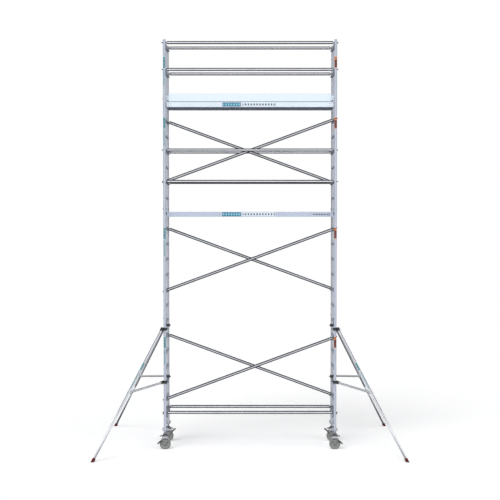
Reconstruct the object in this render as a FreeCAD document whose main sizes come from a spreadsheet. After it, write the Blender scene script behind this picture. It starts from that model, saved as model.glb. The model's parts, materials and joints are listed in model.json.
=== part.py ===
import FreeCAD, Part
import math
import os

from FreeCAD import Placement, Rotation, Vector
import Sketcher

# Mobile aluminium tower scaffold: three ladder frames and a guard frame at each end, tied by
# rails and diagonals, with two trapdoor platforms, four stabilisers and four braked castors.
# Millimetres, +Z up, X along the bay, Y across it. The origin is on the floor, in the middle of
# the ground the scaffold covers; the back stabilisers reach further out than the front ones, so
# the tower itself stands a little in front of it.

doc = FreeCAD.newDocument("MobileTower")

# ---------------------------------------------------------------- driving dimensions

SIZES = {
    # plan and heights
    "bay_length": 3050,
    "frame_width": 700,
    "tower_centre_y": -200,
    "frame_bottom": 350,
    "frame_height": 1960,
    "guard_height": 1100,
    # tubes
    "post_diameter": 50.8,
    "tube_wall": 2,
    "rung_diameter": 45,
    "brace_diameter": 56,
    # ladder frame
    "rung_count": 7,
    "first_rung": 250,
    "rung_pitch": 280,
    "guard_knee_rung": 545,
    "guard_top_rung": 1020,
    # spigots and their locking pins
    "spigot_gap": 0.2,
    "spigot_below": 80,
    "spigot_above": 110,
    "lock_pin_diameter": 8,
    "lock_pin_gap": 0.3,
    "lock_pin_height": 50,
    "lock_pin_tail": 8,
    "lock_pin_head": 20,
    "lock_pin_head_thickness": 7,
    # braces and their claws
    "rail_offset": 54,
    "diagonal_offset": 112,
    "diagonal_pitches": 4,
    "foot_rail_rise": 56,
    "tower_rail_rise": 12,
    "guard_rail_rise": 32,
    "diagonal_rise": 8,
    "claw_width": 28,
    "claw_wall": 7,
    "claw_gap": 0.5,
    "claw_neck": 18,
    "claw_nose": 44,
    "claw_reach": 50,
    "claw_plug": 40,
    "claw_lap": 2,
    "claw_jaw_drop": 8,
    "latch_width": 14,
    "latch_height": 6,
    "latch_gap": 0.4,
    "latch_tail": 48,
    # platforms
    "platform_length": 2986,
    "platform_width": 600,
    "deck_above_rung": 28,
    "beam_height": 90,
    "beam_width": 40,
    "beam_wall": 2.5,
    "cross_beam_height": 22,
    "cross_beam_width": 34,
    "cross_beam_bays": 4,
    "deck_thickness": 12,
    "deck_recess": 2,
    "hatch_length": 700,
    "hatch_from_centre": 980,
    "hatch_gap": 3,
    "hatch_edge_lap": 8,
    "hinge_pin_diameter": 6,
    "hinge_knuckle_diameter": 8,
    "hinge_knuckle_length": 60,
    "hinge_bracket_length": 12,
    "hinge_spacing": 420,
    "hinge_from_beam": 8,
    "hinge_below_deck": 4,
    "hinge_eye_rim": 2,
    "hinge_leaf_thickness": 5,
    "hinge_leaf_drop": 3,
    "hinge_leaf_lap": 6,
    "hook_width": 60,
    "hook_wall": 9,
    "hook_web_height": 63,
    "hook_web_drop": 48.5,
    "toe_board_length": 2910,
    "toe_board_height": 153,
    "toe_board_thickness": 25,
    "end_board_thickness": 18,
    "end_board_lift": 7,
    "end_strap_thickness": 6,
    "end_strap_width": 14,
    "end_strap_height": 222,
    "end_strap_drop": 78,
    "end_strap_from_rung": 1.5,
    "end_strap_tie": 4,
    "end_strap_knob": 18,
    "end_strap_knob_length": 8,
    "end_strap_knob_lift": 30,
    # castors
    "wheel_diameter": 200,
    "wheel_width": 50,
    "wheel_rounding": 10,
    "wheel_recess_diameter": 148,
    "wheel_recess_depth": 14,
    "hub_diameter": 50,
    "hub_length": 58,
    "axle_diameter": 16,
    "axle_head_diameter": 26,
    "axle_head_thickness": 6,
    "running_gap": 0.08,
    "cheek_inside": 30,
    "cheek_thickness": 5,
    "cheek_leg_width": 42,
    "cheek_leg_above_axle": 24,
    "cheek_neck_width": 66,
    "cheek_neck_drop": 18,
    "cheek_shoulder_margin": 14,
    "cheek_shoulder_rise": 20,
    "cheek_shoulder_drop": 8,
    "crown_length": 92,
    "crown_bottom": 240,
    "crown_thickness": 8,
    "swivel_hub_diameter": 64,
    "swivel_hub_height": 25.7,
    "swivel_stem_diameter": 20,
    "swivel_rivet_diameter": 32,
    "flange_diameter": 70,
    "flange_thickness": 10,
    "body_gap": 0.3,
    "spindle_diameter": 38,
    "spindle_wall": 5,
    "spindle_top": 690,
    "jack_nut_height": 27.7,
    "jack_nut_across_corners": 68,
    "jack_nut_ear_from_post": 3,
    "jack_nut_ear_reach": 50,
    "jack_nut_ear_width": 14,
    "jack_nut_ear_bottom": 338,
    "jack_nut_ear_top": 384,
    "pedal_pivot_x": 56,
    "pedal_pivot_height": 166,
    "pedal_length": 104,
    "pedal_arm_height": 18,
    "pedal_arm_lap": 6,
    "pedal_boss_diameter": 22,
    "pedal_tread_start": 70,
    "pedal_tread_thickness": 16,
    "pedal_pin_diameter": 10,
    "pedal_pin_length": 13,
    "pedal_down_angle": 40,
    "pedal_up_angle": 40,
    "brake_plate_end": 52,
    "brake_plate_length": 94,
    "brake_plate_height": 30,
    "brake_plate_bottom": 172,
    "brake_plate_thickness": 3,
    "fork_tab_start": 28,
    "fork_tab_length": 70,
    "fork_tab_width": 30,
    "fork_tab_thickness": 14,
    "fork_tab_drop": 16,
    "fork_tab_angle": 20,
    # stabilisers
    "upper_clamp_height": 2167,
    "lower_clamp_height": 1213,
    "clamp_height": 50,
    "clamp_diameter": 74,
    "clamp_offset": 70,
    "clamp_bolt_start": 33,
    "clamp_bolt_diameter": 12,
    "clamp_bolt_length": 34,
    "clamp_wing_offset": 63,
    "clamp_wing_length": 46,
    "collar_diameter": 58,
    "collar_length": 60,
    "lower_arm_offset": 45,
    "lower_collar_behind": 12,
    "lower_collar_ahead": 42,
    "front_reach": 1538,
    "back_reach": 1826,
    "front_plan_angle": 41,
    "back_plan_angle": 50.4,
    "leg_diameter": 42.4,
    "leg_length": 1650,
    "leg_head": 25,
    "foot_tube_diameter": 37.6,
    "foot_tube_overlap": 420,
    "brace_point": 0.49,
    "leg_brace_diameter": 38,
    "leg_bracket_diameter": 50,
    "leg_bracket_length": 34,
    "brace_socket_wall": 3,
    "brace_socket_length": 45,
    "foot_diameter": 56,
    "foot_length": 70,
    "foot_tube_seat": 10,
}

sheet = doc.addObject("Spreadsheet::Sheet", "Sizes")
for row, (alias, value) in enumerate(SIZES.items(), start=1):
    sheet.set(f"A{row}", alias)
    sheet.set(f"B{row}", str(value))
    sheet.setAlias(f"B{row}", alias)
doc.recompute()


def size(alias):
    """The value of one driving dimension."""
    return float(sheet.get(alias))


# ---------------------------------------------------------------- construction helpers

X_AXIS = Vector(1, 0, 0)
Y_AXIS = Vector(0, 1, 0)
Z_AXIS = Vector(0, 0, 1)


def at(x=0, y=0, z=0, turn=0, axis=Z_AXIS):
    return Placement(Vector(x, y, z), Rotation(axis, turn))


def bind(part, **sizes):
    for name, expression in sizes.items():
        part.setExpression(name, expression)
    return part


def cylinder(name, radius, height, place=Placement()):
    part = doc.addObject("Part::Cylinder", name)
    part.Placement = place
    return bind(part, Radius=radius, Height=height)


def box(name, length, width, height, place=Placement()):
    """A box centred in X and Y on its placement, standing on it."""
    part = doc.addObject("Part::Box", name)
    bind(part, Length=length, Width=width, Height=height)
    doc.recompute([part])
    centre = Vector(-part.Length.Value / 2, -part.Width.Value / 2, 0)
    part.Placement = place.multiply(Placement(centre, Rotation()))
    return part


def fuse(name, parts):
    part = doc.addObject("Part::MultiFuse", name)
    part.Shapes = parts
    return part


def cut(name, base, tool):
    part = doc.addObject("Part::Cut", name)
    part.Base = base
    part.Tool = tool
    return part


def tube(name, diameter, wall, length, place=Placement()):
    outer = cylinder(name + "_outer", f"{diameter} / 2", length)
    bore = cylinder(name + "_bore", f"{diameter} / 2 - {wall}", length)
    part = cut(name, outer, bore)
    part.Placement = place
    return part


def placed(name, source, place):
    """A copy of a template, standing somewhere else."""
    part = doc.addObject("Part::Compound", name)
    part.Links = [source]
    part.Placement = place
    return part


def slab(name, length, width, height, place=Placement()):
    """A body padded from a centred rectangle that is dimensioned from the sheet."""
    body = doc.addObject("PartDesign::Body", name)
    sketch = body.newObject("Sketcher::SketchObject", name + "_outline")
    plane = next(f for f in body.Origin.OriginFeatures if f.Role == "XY_Plane")
    sketch.AttachmentSupport = (plane, "")
    sketch.MapMode = "FlatFace"
    first_long, first_wide = 20, 10
    corners = [Vector(x * first_long / 2, y * first_wide / 2)
               for x, y in ((-1, -1), (1, -1), (1, 1), (-1, 1))]
    for first, second in zip(corners, corners[1:] + corners[:1]):
        sketch.addGeometry(Part.LineSegment(first, second), False)
    add = sketch.addConstraint
    for side in range(4):
        add(Sketcher.Constraint("Coincident", side, 2, (side + 1) % 4, 1))
    for side, kind in enumerate(("Horizontal", "Vertical", "Horizontal", "Vertical")):
        add(Sketcher.Constraint(kind, side))
    add(Sketcher.Constraint("Symmetric", 0, 1, 2, 1, -1, 1))
    add(Sketcher.Constraint("DistanceX", 0, 1, 0, 2, first_long))
    sketch.renameConstraint(sketch.ConstraintCount - 1, "long")
    add(Sketcher.Constraint("DistanceY", 1, 1, 1, 2, first_wide))
    sketch.renameConstraint(sketch.ConstraintCount - 1, "wide")
    sketch.setExpression("Constraints.long", length)
    sketch.setExpression("Constraints.wide", width)
    pad = body.newObject("PartDesign::Pad", name + "_pad")
    pad.Profile = sketch
    pad.setExpression("Length", height)
    body.Placement = place
    return body


NODES = []


def node(label, parts):
    """One named sub-part: a group of separate solids, or a single solid."""
    part = doc.addObject("Part::Compound", label)
    part.Links = parts
    part.Label = label
    part.Placement = at(0, size("tower_centre_y"), 0)
    NODES.append(part)
    return part


HALF_BAY = size("bay_length") / 2
HALF_WIDTH = size("frame_width") / 2
POST_PLACES = {
    "front_left": (-HALF_BAY, -HALF_WIDTH),
    "front_right": (HALF_BAY, -HALF_WIDTH),
    "back_left": (-HALF_BAY, HALF_WIDTH),
    "back_right": (HALF_BAY, HALF_WIDTH),
}
END_SIDES = {"left": -1, "right": 1}
FRAME_LEVELS = ("lower", "middle", "upper")
FRAME_FEET = [size("frame_bottom") + size("frame_height") * level for level in range(4)]


def rung_height(index):
    """Height of a rung above the floor, counted from the lowest rung."""
    return size("frame_bottom") + size("first_rung") + size("rung_pitch") * index


# ---------------------------------------------------------------- ladder and guard frames

def frame_template(name, height, rung_heights):
    """Two posts with rungs between them, standing on z = 0 in the YZ plane."""
    parts = []
    drilled = "Sizes.lock_pin_diameter / 2 + Sizes.lock_pin_gap"
    for side, y in (("front", -HALF_WIDTH), ("back", HALF_WIDTH)):
        post = tube(f"{name}_{side}_tube", "Sizes.post_diameter", "Sizes.tube_wall", height)
        hole = cylinder(f"{name}_{side}_hole", drilled, "Sizes.post_diameter * 2",
                        at(-size("post_diameter"), 0, size("lock_pin_height"), 90, Y_AXIS))
        post = cut(f"{name}_{side}_post", post, hole)
        post.Placement = at(0, y, 0)
        parts.append(post)
    saddles = [
        cylinder(f"{name}_{side}_saddle", "Sizes.post_diameter / 2", height, at(0, y, 0))
        for side, y in (("front", -HALF_WIDTH), ("back", HALF_WIDTH))
    ]
    saddle = fuse(f"{name}_saddles", saddles)
    for index, rung_z in enumerate(rung_heights):
        bar = tube(f"{name}_bar_{index}", "Sizes.rung_diameter", "Sizes.tube_wall",
                   "Sizes.frame_width", at(0, -HALF_WIDTH, rung_z, -90, X_AXIS))
        parts.append(cut(f"{name}_rung_{index}", bar, saddle))
    template = doc.addObject("Part::Compound", name)
    template.Links = parts
    return template


ladder = frame_template(
    "ladder", "Sizes.frame_height",
    [size("first_rung") + size("rung_pitch") * i for i in range(int(size("rung_count")))],
)
guard = frame_template(
    "guard", "Sizes.guard_height", [size("guard_knee_rung"), size("guard_top_rung")],
)
for side, sign in END_SIDES.items():
    turn = 0 if sign < 0 else 180
    for level, foot in zip(FRAME_LEVELS, FRAME_FEET):
        label = f"ladder_frame_{level}_{side}"
        node(label, [placed(label + "_copy", ladder, at(sign * HALF_BAY, 0, foot, turn))])
    label = f"guard_frame_{side}"
    node(label, [placed(label + "_copy", guard, at(sign * HALF_BAY, 0, FRAME_FEET[3], turn))])


# ---------------------------------------------------------------- spigots and locking pins

spigot_length = "Sizes.spigot_below + Sizes.spigot_above"
spigot_sleeve = tube("spigot_sleeve",
                     "(Sizes.post_diameter - 2 * Sizes.tube_wall - 2 * Sizes.spigot_gap)",
                     "Sizes.tube_wall", spigot_length, at(0, 0, -size("spigot_below")))
spigot_hole = cylinder("spigot_hole", "Sizes.lock_pin_diameter / 2 + Sizes.lock_pin_gap",
                       "Sizes.post_diameter * 2",
                       at(-size("post_diameter"), 0, size("lock_pin_height"), 90, Y_AXIS))
spigot = cut("spigot", spigot_sleeve, spigot_hole)

pin_start = -(size("post_diameter") / 2 + size("body_gap"))
pin_shaft = cylinder("lock_pin_shaft", "Sizes.lock_pin_diameter / 2",
                     "Sizes.post_diameter + Sizes.lock_pin_tail",
                     at(pin_start, 0, size("lock_pin_height"), 90, Y_AXIS))
pin_head = cylinder("lock_pin_knob", "Sizes.lock_pin_head / 2", "Sizes.lock_pin_head_thickness",
                    at(pin_start, 0, size("lock_pin_height"), -90, Y_AXIS))
lock_pin = fuse("lock_pin", [pin_shaft, pin_head])

JOINTS = [
    (f"{place}_{level}", at(x, y, foot))
    for place, (x, y) in POST_PLACES.items()
    for level, foot in enumerate(FRAME_FEET[1:], start=1)
]
node("frame_spigots", [placed(f"spigot_{name}", spigot, place) for name, place in JOINTS])
node("spigot_lock_pins", [placed(f"lock_pin_{name}", lock_pin, place) for name, place in JOINTS])


# ---------------------------------------------------------------- brace claws and latches

def claw_template(name, rise):
    """Cast claw on a rung along Y through the origin. The brace tube runs off along +X."""
    bore_radius = size("rung_diameter") / 2 + size("claw_gap")
    outer_radius = bore_radius + size("claw_wall")
    width = size("claw_width")
    jaw = cylinder(name + "_jaw", "Sizes.rung_diameter / 2 + Sizes.claw_gap + Sizes.claw_wall",
                   "Sizes.claw_width", at(0, width / 2, 0, 90, X_AXIS))
    neck_bottom = min(rise - size("claw_neck") / 2, bore_radius - size("claw_lap"))
    neck = box(name + "_neck", "Sizes.claw_nose + Sizes.claw_reach", "Sizes.claw_width",
               f"{rise + size('claw_neck') / 2 - neck_bottom}",
               at((size("claw_reach") - size("claw_nose")) / 2, 0, neck_bottom))
    nose = cylinder(name + "_nose", "Sizes.claw_neck / 2", "Sizes.claw_width",
                    at(-size("claw_nose"), width / 2, rise, 90, X_AXIS))
    plug = cylinder(name + "_plug", "Sizes.brace_diameter / 2 - Sizes.tube_wall",
                    "Sizes.claw_plug", at(size("claw_reach"), 0, rise, 90, Y_AXIS))
    collar = cylinder(name + "_collar", "Sizes.brace_diameter / 2", "Sizes.claw_wall",
                      at(size("claw_reach") - size("claw_wall"), 0, rise, 90, Y_AXIS))
    latch_floor = -(bore_radius + size("latch_gap") * 2 + size("latch_height"))
    guide_height = size("claw_wall") + 2 * size("latch_gap") + size("latch_height")
    guide_length = size("claw_wall") * 2
    guide = box(name + "_guide", "Sizes.claw_wall * 2", "Sizes.claw_width",
                f"{guide_height + bore_radius}",
                at(bore_radius + guide_length / 2, 0, latch_floor - size("claw_wall") / 2))
    solid = fuse(name + "_blank", [jaw, neck, nose, plug, collar, guide])
    rung_bore = cylinder(name + "_bore", "Sizes.rung_diameter / 2 + Sizes.claw_gap",
                         "Sizes.claw_width * 2", at(0, width, 0, 90, X_AXIS))
    mouth = box(name + "_mouth", f"{bore_radius + outer_radius}", "Sizes.claw_width * 2",
                f"{outer_radius * 2}",
                at((bore_radius - outer_radius) / 2, 0,
                   -size("claw_jaw_drop") - outer_radius * 2))
    channel = box(name + "_channel", "Sizes.claw_reach * 2",
                  "Sizes.latch_width + 2 * Sizes.latch_gap",
                  "Sizes.latch_height + 2 * Sizes.latch_gap",
                  at(0, 0, latch_floor - size("latch_gap")))
    opened = cut(name + "_hooked", solid, rung_bore)
    opened = cut(name + "_opened", opened, mouth)
    return cut(name, opened, channel), latch_floor


RAIL_KINDS = ("foot", "tower", "guard")
rail_claws = {}
for kind in RAIL_KINDS:
    rail_claws[kind], latch_floor = claw_template(f"{kind}_rail_claw", size(f"{kind}_rail_rise"))
diagonal_claw, _ = claw_template("diagonal_claw", size("diagonal_rise"))

latch_bar = box("latch_bar", "Sizes.latch_tail", "Sizes.latch_width", "Sizes.latch_height",
                at(size("latch_tail") / 2, 0, latch_floor))
latch_tab = box("latch_tab", "Sizes.latch_height", "Sizes.latch_width + Sizes.latch_height",
                "Sizes.latch_height * 2 + Sizes.claw_wall / 2",
                at(size("latch_tail") - size("latch_height") / 2, 0,
                   latch_floor - size("latch_height") - size("claw_wall") / 2))
latch = fuse("latch", [latch_bar, latch_tab])


# ---------------------------------------------------------------- rails and diagonals

RAILS = {
    "foot": ("foot", rung_height(0)),
    "knee": ("tower", rung_height(15)),
    "hand": ("tower", rung_height(17)),
    "top_knee": ("guard", FRAME_FEET[3] + size("guard_knee_rung")),
    "top_hand": ("guard", FRAME_FEET[3] + size("guard_top_rung")),
}
DIAGONAL_FIRST_RUNGS = {"lower": 1, "middle": 8, "upper": 15}
diagonal_climb = size("rung_pitch") * size("diagonal_pitches")
diagonal_slope = math.degrees(math.atan2(diagonal_climb, size("bay_length")))
diagonal_span = math.hypot(diagonal_climb, size("bay_length"))
rail_y = HALF_WIDTH - size("rail_offset")
diagonal_y = HALF_WIDTH - size("diagonal_offset")

rail_tubes = {
    kind: tube(f"{kind}_rail_tube", "Sizes.brace_diameter", "Sizes.tube_wall",
               "Sizes.bay_length - 2 * Sizes.claw_reach",
               at(-(HALF_BAY - size("claw_reach")), 0, size(f"{kind}_rail_rise"), 90, Y_AXIS))
    for kind in RAIL_KINDS
}
diagonal_length = ("sqrt(Sizes.bay_length ^ 2 + (Sizes.rung_pitch * Sizes.diagonal_pitches) ^ 2)"
                   " - 2 * Sizes.claw_reach")
diagonal_tube = tube("diagonal_tube", "Sizes.brace_diameter", "Sizes.tube_wall", diagonal_length,
                     at(-(diagonal_span / 2 - size("claw_reach")), 0, size("diagonal_rise"),
                        90, Y_AXIS))

claws = []
rail_latches = {"left": [], "right": []}
for face, y_sign in (("front", -1), ("back", 1)):
    rails = []
    for level, (kind, z) in RAILS.items():
        rails.append(placed(f"rail_{face}_{level}", rail_tubes[kind], at(0, y_sign * rail_y, z)))
        for side, sign in END_SIDES.items():
            end = at(sign * HALF_BAY, y_sign * rail_y, z, 0 if sign < 0 else 180)
            claws.append(placed(f"claw_{face}_{level}_{side}", rail_claws[kind], end))
            rail_latches[side].append(placed(f"latch_{face}_{level}_{side}", latch, end))
    node(f"horizontal_rails_{face}", rails)

    # The front diagonals climb towards +X and the back ones towards -X.
    diagonals = []
    ends = {"low": [], "high": []}
    for level, first in DIAGONAL_FIRST_RUNGS.items():
        middle = Vector(0, y_sign * diagonal_y, rung_height(first) + diagonal_climb / 2)
        lean = Rotation(Y_AXIS, -diagonal_slope)
        lean = lean if y_sign < 0 else Rotation(Z_AXIS, 180).multiply(lean)
        along = Placement(middle, lean)
        diagonals.append(placed(f"diagonal_{face}_{level}", diagonal_tube, along))
        for end_name, sign in (("low", -1), ("high", 1)):
            end = along.multiply(at(sign * diagonal_span / 2, 0, 0, 0 if sign < 0 else 180))
            claws.append(placed(f"claw_{face}_{level}_{end_name}", diagonal_claw, end))
            ends[end_name].append(placed(f"latch_{face}_{level}_{end_name}", latch, end))
    node(f"diagonal_braces_{face}", diagonals)
    for end_name, latches in ends.items():
        node(f"diagonal_latches_{face}_{end_name}", latches)
node("brace_claws", claws)
for side, latches in rail_latches.items():
    node(f"rail_latches_{side}", latches)


# ---------------------------------------------------------------- platforms

HALF_PLATFORM = size("platform_length") / 2
BEAM_Y = size("platform_width") / 2 - size("beam_width") / 2
CLEAR_WIDTH = "Sizes.platform_width - 2 * Sizes.beam_width"
clear_half = size("platform_width") / 2 - size("beam_width")
deck_bottom = -(size("deck_recess") + size("deck_thickness"))
hinge_y = clear_half - size("hinge_from_beam")
hinge_z = -size("hinge_below_deck")


def hollow_beam(name, length, width, height, wall, along, place):
    """A rectangular extrusion that is open at both ends; along is X or Y."""
    outer = box(name + "_outer", length, width, height)
    if along == "X":
        sizes = (length, f"{width} - 2 * {wall}", f"{height} - 2 * {wall}")
    else:
        sizes = (f"{length} - 2 * {wall}", width, f"{height} - 2 * {wall}")
    inner = box(name + "_inner", *sizes, at(0, 0, size(wall.split(".")[1])))
    part = cut(name, outer, inner)
    part.Placement = place
    return part


def platform_hook(name):
    """Hook over a rung whose axis lies along Y through the origin; the platform is at -X."""
    width = size("hook_width")
    outer_radius = size("rung_diameter") / 2 + size("claw_gap") + size("hook_wall")
    ring = cylinder(name + "_ring", "Sizes.rung_diameter / 2 + Sizes.claw_gap + Sizes.hook_wall",
                    "Sizes.hook_width", at(0, width / 2, 0, 90, X_AXIS))
    web_length = outer_radius - size("rung_diameter") / 2 - size("claw_gap")
    web_centre = -(outer_radius - web_length / 2)
    web = box(name + "_web", "Sizes.hook_wall", "Sizes.hook_width", "Sizes.hook_web_height",
              at(web_centre, 0, -size("hook_web_drop")))
    rung_bore = cylinder(name + "_bore", "Sizes.rung_diameter / 2 + Sizes.claw_gap",
                         "Sizes.hook_width * 2", at(0, width, 0, 90, X_AXIS))
    mouth = box(name + "_mouth", f"{outer_radius * 2}", "Sizes.hook_width * 2",
                f"{outer_radius}",
                at(outer_radius - size("rung_diameter") / 2 - size("claw_gap"), 0,
                   -outer_radius - size("claw_jaw_drop")))
    return cut(name, fuse(name + "_blank", [ring, web]),
               fuse(name + "_space", [rung_bore, mouth]))


hook = platform_hook("platform_hook")


def hinge_bracket(name):
    """Eye on the beam's inner face, bored for the trapdoor's hinge pin."""
    eye = cylinder(name + "_eye", "Sizes.hinge_knuckle_diameter / 2 + Sizes.hinge_eye_rim",
                   "Sizes.hinge_bracket_length",
                   at(-size("hinge_bracket_length") / 2, 0, 0, 90, Y_AXIS))
    foot_height = size("hinge_knuckle_diameter") + 2 * size("hinge_eye_rim")
    foot = box(name + "_foot", "Sizes.hinge_bracket_length", "Sizes.hinge_from_beam",
               "Sizes.hinge_knuckle_diameter + 2 * Sizes.hinge_eye_rim",
               at(0, size("hinge_from_beam") / 2, -foot_height / 2))
    bore = cylinder(name + "_bore", "Sizes.hinge_pin_diameter / 2 + Sizes.running_gap",
                    "Sizes.hinge_bracket_length * 2",
                    at(-size("hinge_bracket_length"), 0, 0, 90, Y_AXIS))
    return cut(name, fuse(name + "_blank", [eye, foot]), bore)


bracket = hinge_bracket("hinge_bracket")
bracket_offset = (size("hinge_knuckle_length") + size("hinge_bracket_length")) / 2 \
    + size("body_gap")


def trapdoor_template(name):
    """Door with its hinge knuckles and pins; its centre line is the hatch's centre line."""
    door_front = -(clear_half - size("hatch_gap"))
    door_back = hinge_y - size("hinge_from_beam") - 2 * size("body_gap")
    panel = slab(name + "_panel", "Sizes.hatch_length - 2 * Sizes.hatch_gap",
                 f"{door_back - door_front}", "Sizes.deck_thickness",
                 at(0, (door_back + door_front) / 2, deck_bottom))
    parts = [panel]
    for side, sign in END_SIDES.items():
        x = sign * size("hinge_spacing") / 2
        knuckle_start = x - size("hinge_knuckle_length") / 2
        parts.append(cylinder(f"{name}_knuckle_{side}", "Sizes.hinge_knuckle_diameter / 2",
                              "Sizes.hinge_knuckle_length",
                              at(knuckle_start, hinge_y, hinge_z, 90, Y_AXIS)))
        parts.append(cylinder(f"{name}_pin_{side}", "Sizes.hinge_pin_diameter / 2",
                              "Sizes.hinge_knuckle_length + 2 * Sizes.hinge_bracket_length",
                              at(knuckle_start - size("hinge_bracket_length"), hinge_y, hinge_z,
                                 90, Y_AXIS)))
        leaf_width = hinge_y - door_back + size("hinge_leaf_lap")
        parts.append(box(f"{name}_leaf_{side}", "Sizes.hinge_knuckle_length",
                         f"{leaf_width}", "Sizes.hinge_leaf_thickness",
                         at(x, hinge_y - leaf_width / 2, hinge_z - size("hinge_leaf_drop"))))
    return fuse(name, parts)


trapdoor = trapdoor_template("trapdoor")


def platform(level, hatch_sign, deck_z):
    """Frame, deck panels and trapdoor of one platform, with the hatch towards hatch_sign."""
    name = f"platform_{level}"
    beam_bottom = deck_z - size("beam_height")
    hatch_x = hatch_sign * size("hatch_from_centre")
    hatch_half = size("hatch_length") / 2
    parts = []
    for side, sign in (("front", -1), ("back", 1)):
        parts.append(hollow_beam(f"{name}_beam_{side}", "Sizes.platform_length",
                                 "Sizes.beam_width", "Sizes.beam_height", "Sizes.beam_wall",
                                 "X", at(0, sign * BEAM_Y, beam_bottom)))
    cross_half = size("cross_beam_width") / 2
    edge_inset = cross_half - size("hatch_edge_lap")
    crosses = {
        "left_end": -HALF_PLATFORM + cross_half,
        "right_end": HALF_PLATFORM - cross_half,
        "hatch_outer": hatch_x + hatch_sign * (hatch_half + edge_inset),
        "hatch_inner": hatch_x - hatch_sign * (hatch_half + edge_inset),
    }
    bays = int(size("cross_beam_bays"))
    first = crosses["hatch_inner"]
    last = -hatch_sign * (HALF_PLATFORM - cross_half)
    for index in range(1, bays):
        crosses[f"deck_{index}"] = first + (last - first) * index / bays
    for place, x in crosses.items():
        parts.append(hollow_beam(f"{name}_cross_{place}", "Sizes.cross_beam_width", CLEAR_WIDTH,
                                 "Sizes.cross_beam_height", "Sizes.beam_wall", "Y",
                                 at(x, 0, deck_z + deck_bottom - size("body_gap")
                                    - size("cross_beam_height"))))
    rung_z = deck_z - size("deck_above_rung")
    for side, sign in END_SIDES.items():
        for face, y_sign in (("front", -1), ("back", 1)):
            parts.append(placed(f"{name}_hook_{side}_{face}", hook,
                                at(sign * HALF_BAY, y_sign * (BEAM_Y - size("beam_width")),
                                   rung_z, 0 if sign > 0 else 180)))
    for side, sign in END_SIDES.items():
        for edge in (-1, 1):
            x = hatch_x + sign * size("hinge_spacing") / 2 + edge * bracket_offset
            parts.append(placed(f"{name}_bracket_{side}_{edge + 1}", bracket,
                                at(x, hinge_y, deck_z + hinge_z)))
    node(f"{name}_frame", parts)

    # The deck is two plywood panels, one each side of the hatch.
    inner_end = hatch_x - hatch_sign * hatch_half
    outer_start = hatch_x + hatch_sign * hatch_half
    far_end = -hatch_sign * HALF_PLATFORM
    near_end = hatch_sign * HALF_PLATFORM
    deck_z0 = deck_z + deck_bottom
    long_panel = slab(f"{name}_long_panel",
                      "Sizes.platform_length / 2 + Sizes.hatch_from_centre"
                      " - Sizes.hatch_length / 2", CLEAR_WIDTH, "Sizes.deck_thickness",
                      at((inner_end + far_end) / 2, 0, deck_z0))
    short_panel = slab(f"{name}_short_panel",
                       "Sizes.platform_length / 2 - Sizes.hatch_from_centre"
                       " - Sizes.hatch_length / 2", CLEAR_WIDTH, "Sizes.deck_thickness",
                       at((outer_start + near_end) / 2, 0, deck_z0))
    node(f"{name}_deck", [long_panel, short_panel])
    node(f"{name}_trapdoor", [placed(f"{name}_door", trapdoor, at(hatch_x, 0, deck_z))])


platform("middle", 1, rung_height(13) + size("deck_above_rung"))
platform("top", -1, rung_height(20) + size("deck_above_rung"))

# Toe boards stand on the top platform; a strap at each end of the long ones drops past the deck.
top_deck_z = rung_height(20) + size("deck_above_rung")
board_end = size("toe_board_length") / 2
board_y = size("platform_width") / 2 - size("toe_board_thickness") / 2
boards = [
    slab(f"toe_board_{face}", "Sizes.toe_board_length", "Sizes.toe_board_thickness",
         "Sizes.toe_board_height", at(0, sign * board_y, top_deck_z))
    for face, sign in (("front", -1), ("back", 1))
]
boards += [
    slab(f"toe_board_{side}", "Sizes.end_board_thickness",
         "Sizes.platform_width - 2 * Sizes.toe_board_thickness",
         "Sizes.toe_board_height - Sizes.end_board_lift",
         at(sign * (board_end - size("end_board_thickness") / 2), 0,
            top_deck_z + size("end_board_lift")))
    for side, sign in END_SIDES.items()
]


def end_strap():
    """Strap at the +X end of a toe board, tied to the board and hooked by a knob."""
    outer = HALF_BAY - size("rung_diameter") / 2 - size("end_strap_from_rung")
    bottom = top_deck_z - size("end_strap_drop")
    strap = box("end_strap_bar", "Sizes.end_strap_thickness", "Sizes.end_strap_width",
                "Sizes.end_strap_height", at(outer - size("end_strap_thickness") / 2, 0, bottom))
    tie_length = outer - board_end
    tie = box("end_strap_tie_plate", f"{tie_length}", "Sizes.end_strap_tie",
              "Sizes.toe_board_height / 2",
              at(board_end + tie_length / 2, 0, top_deck_z + size("toe_board_height") / 4))
    knob = cylinder("end_strap_knob_head", "Sizes.end_strap_knob / 2",
                    "Sizes.end_strap_knob_length",
                    at(outer - size("end_strap_thickness") / 2, -size("end_strap_width") / 2,
                       top_deck_z + size("end_strap_knob_lift"), 90, X_AXIS))
    return fuse("end_strap", [strap, tie, knob])


strap = end_strap()
for face, y_sign in (("front", -1), ("back", 1)):
    for side, sign in END_SIDES.items():
        boards.append(placed(f"end_strap_{face}_{side}", strap,
                             at(0, y_sign * board_y, 0, 0 if sign > 0 else 180)))
node("toe_boards", boards)


# ---------------------------------------------------------------- castors

axle_z = size("wheel_diameter") / 2
spindle_bottom = size("crown_bottom") + size("swivel_hub_height") + size("body_gap") \
    + size("flange_thickness")


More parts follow.
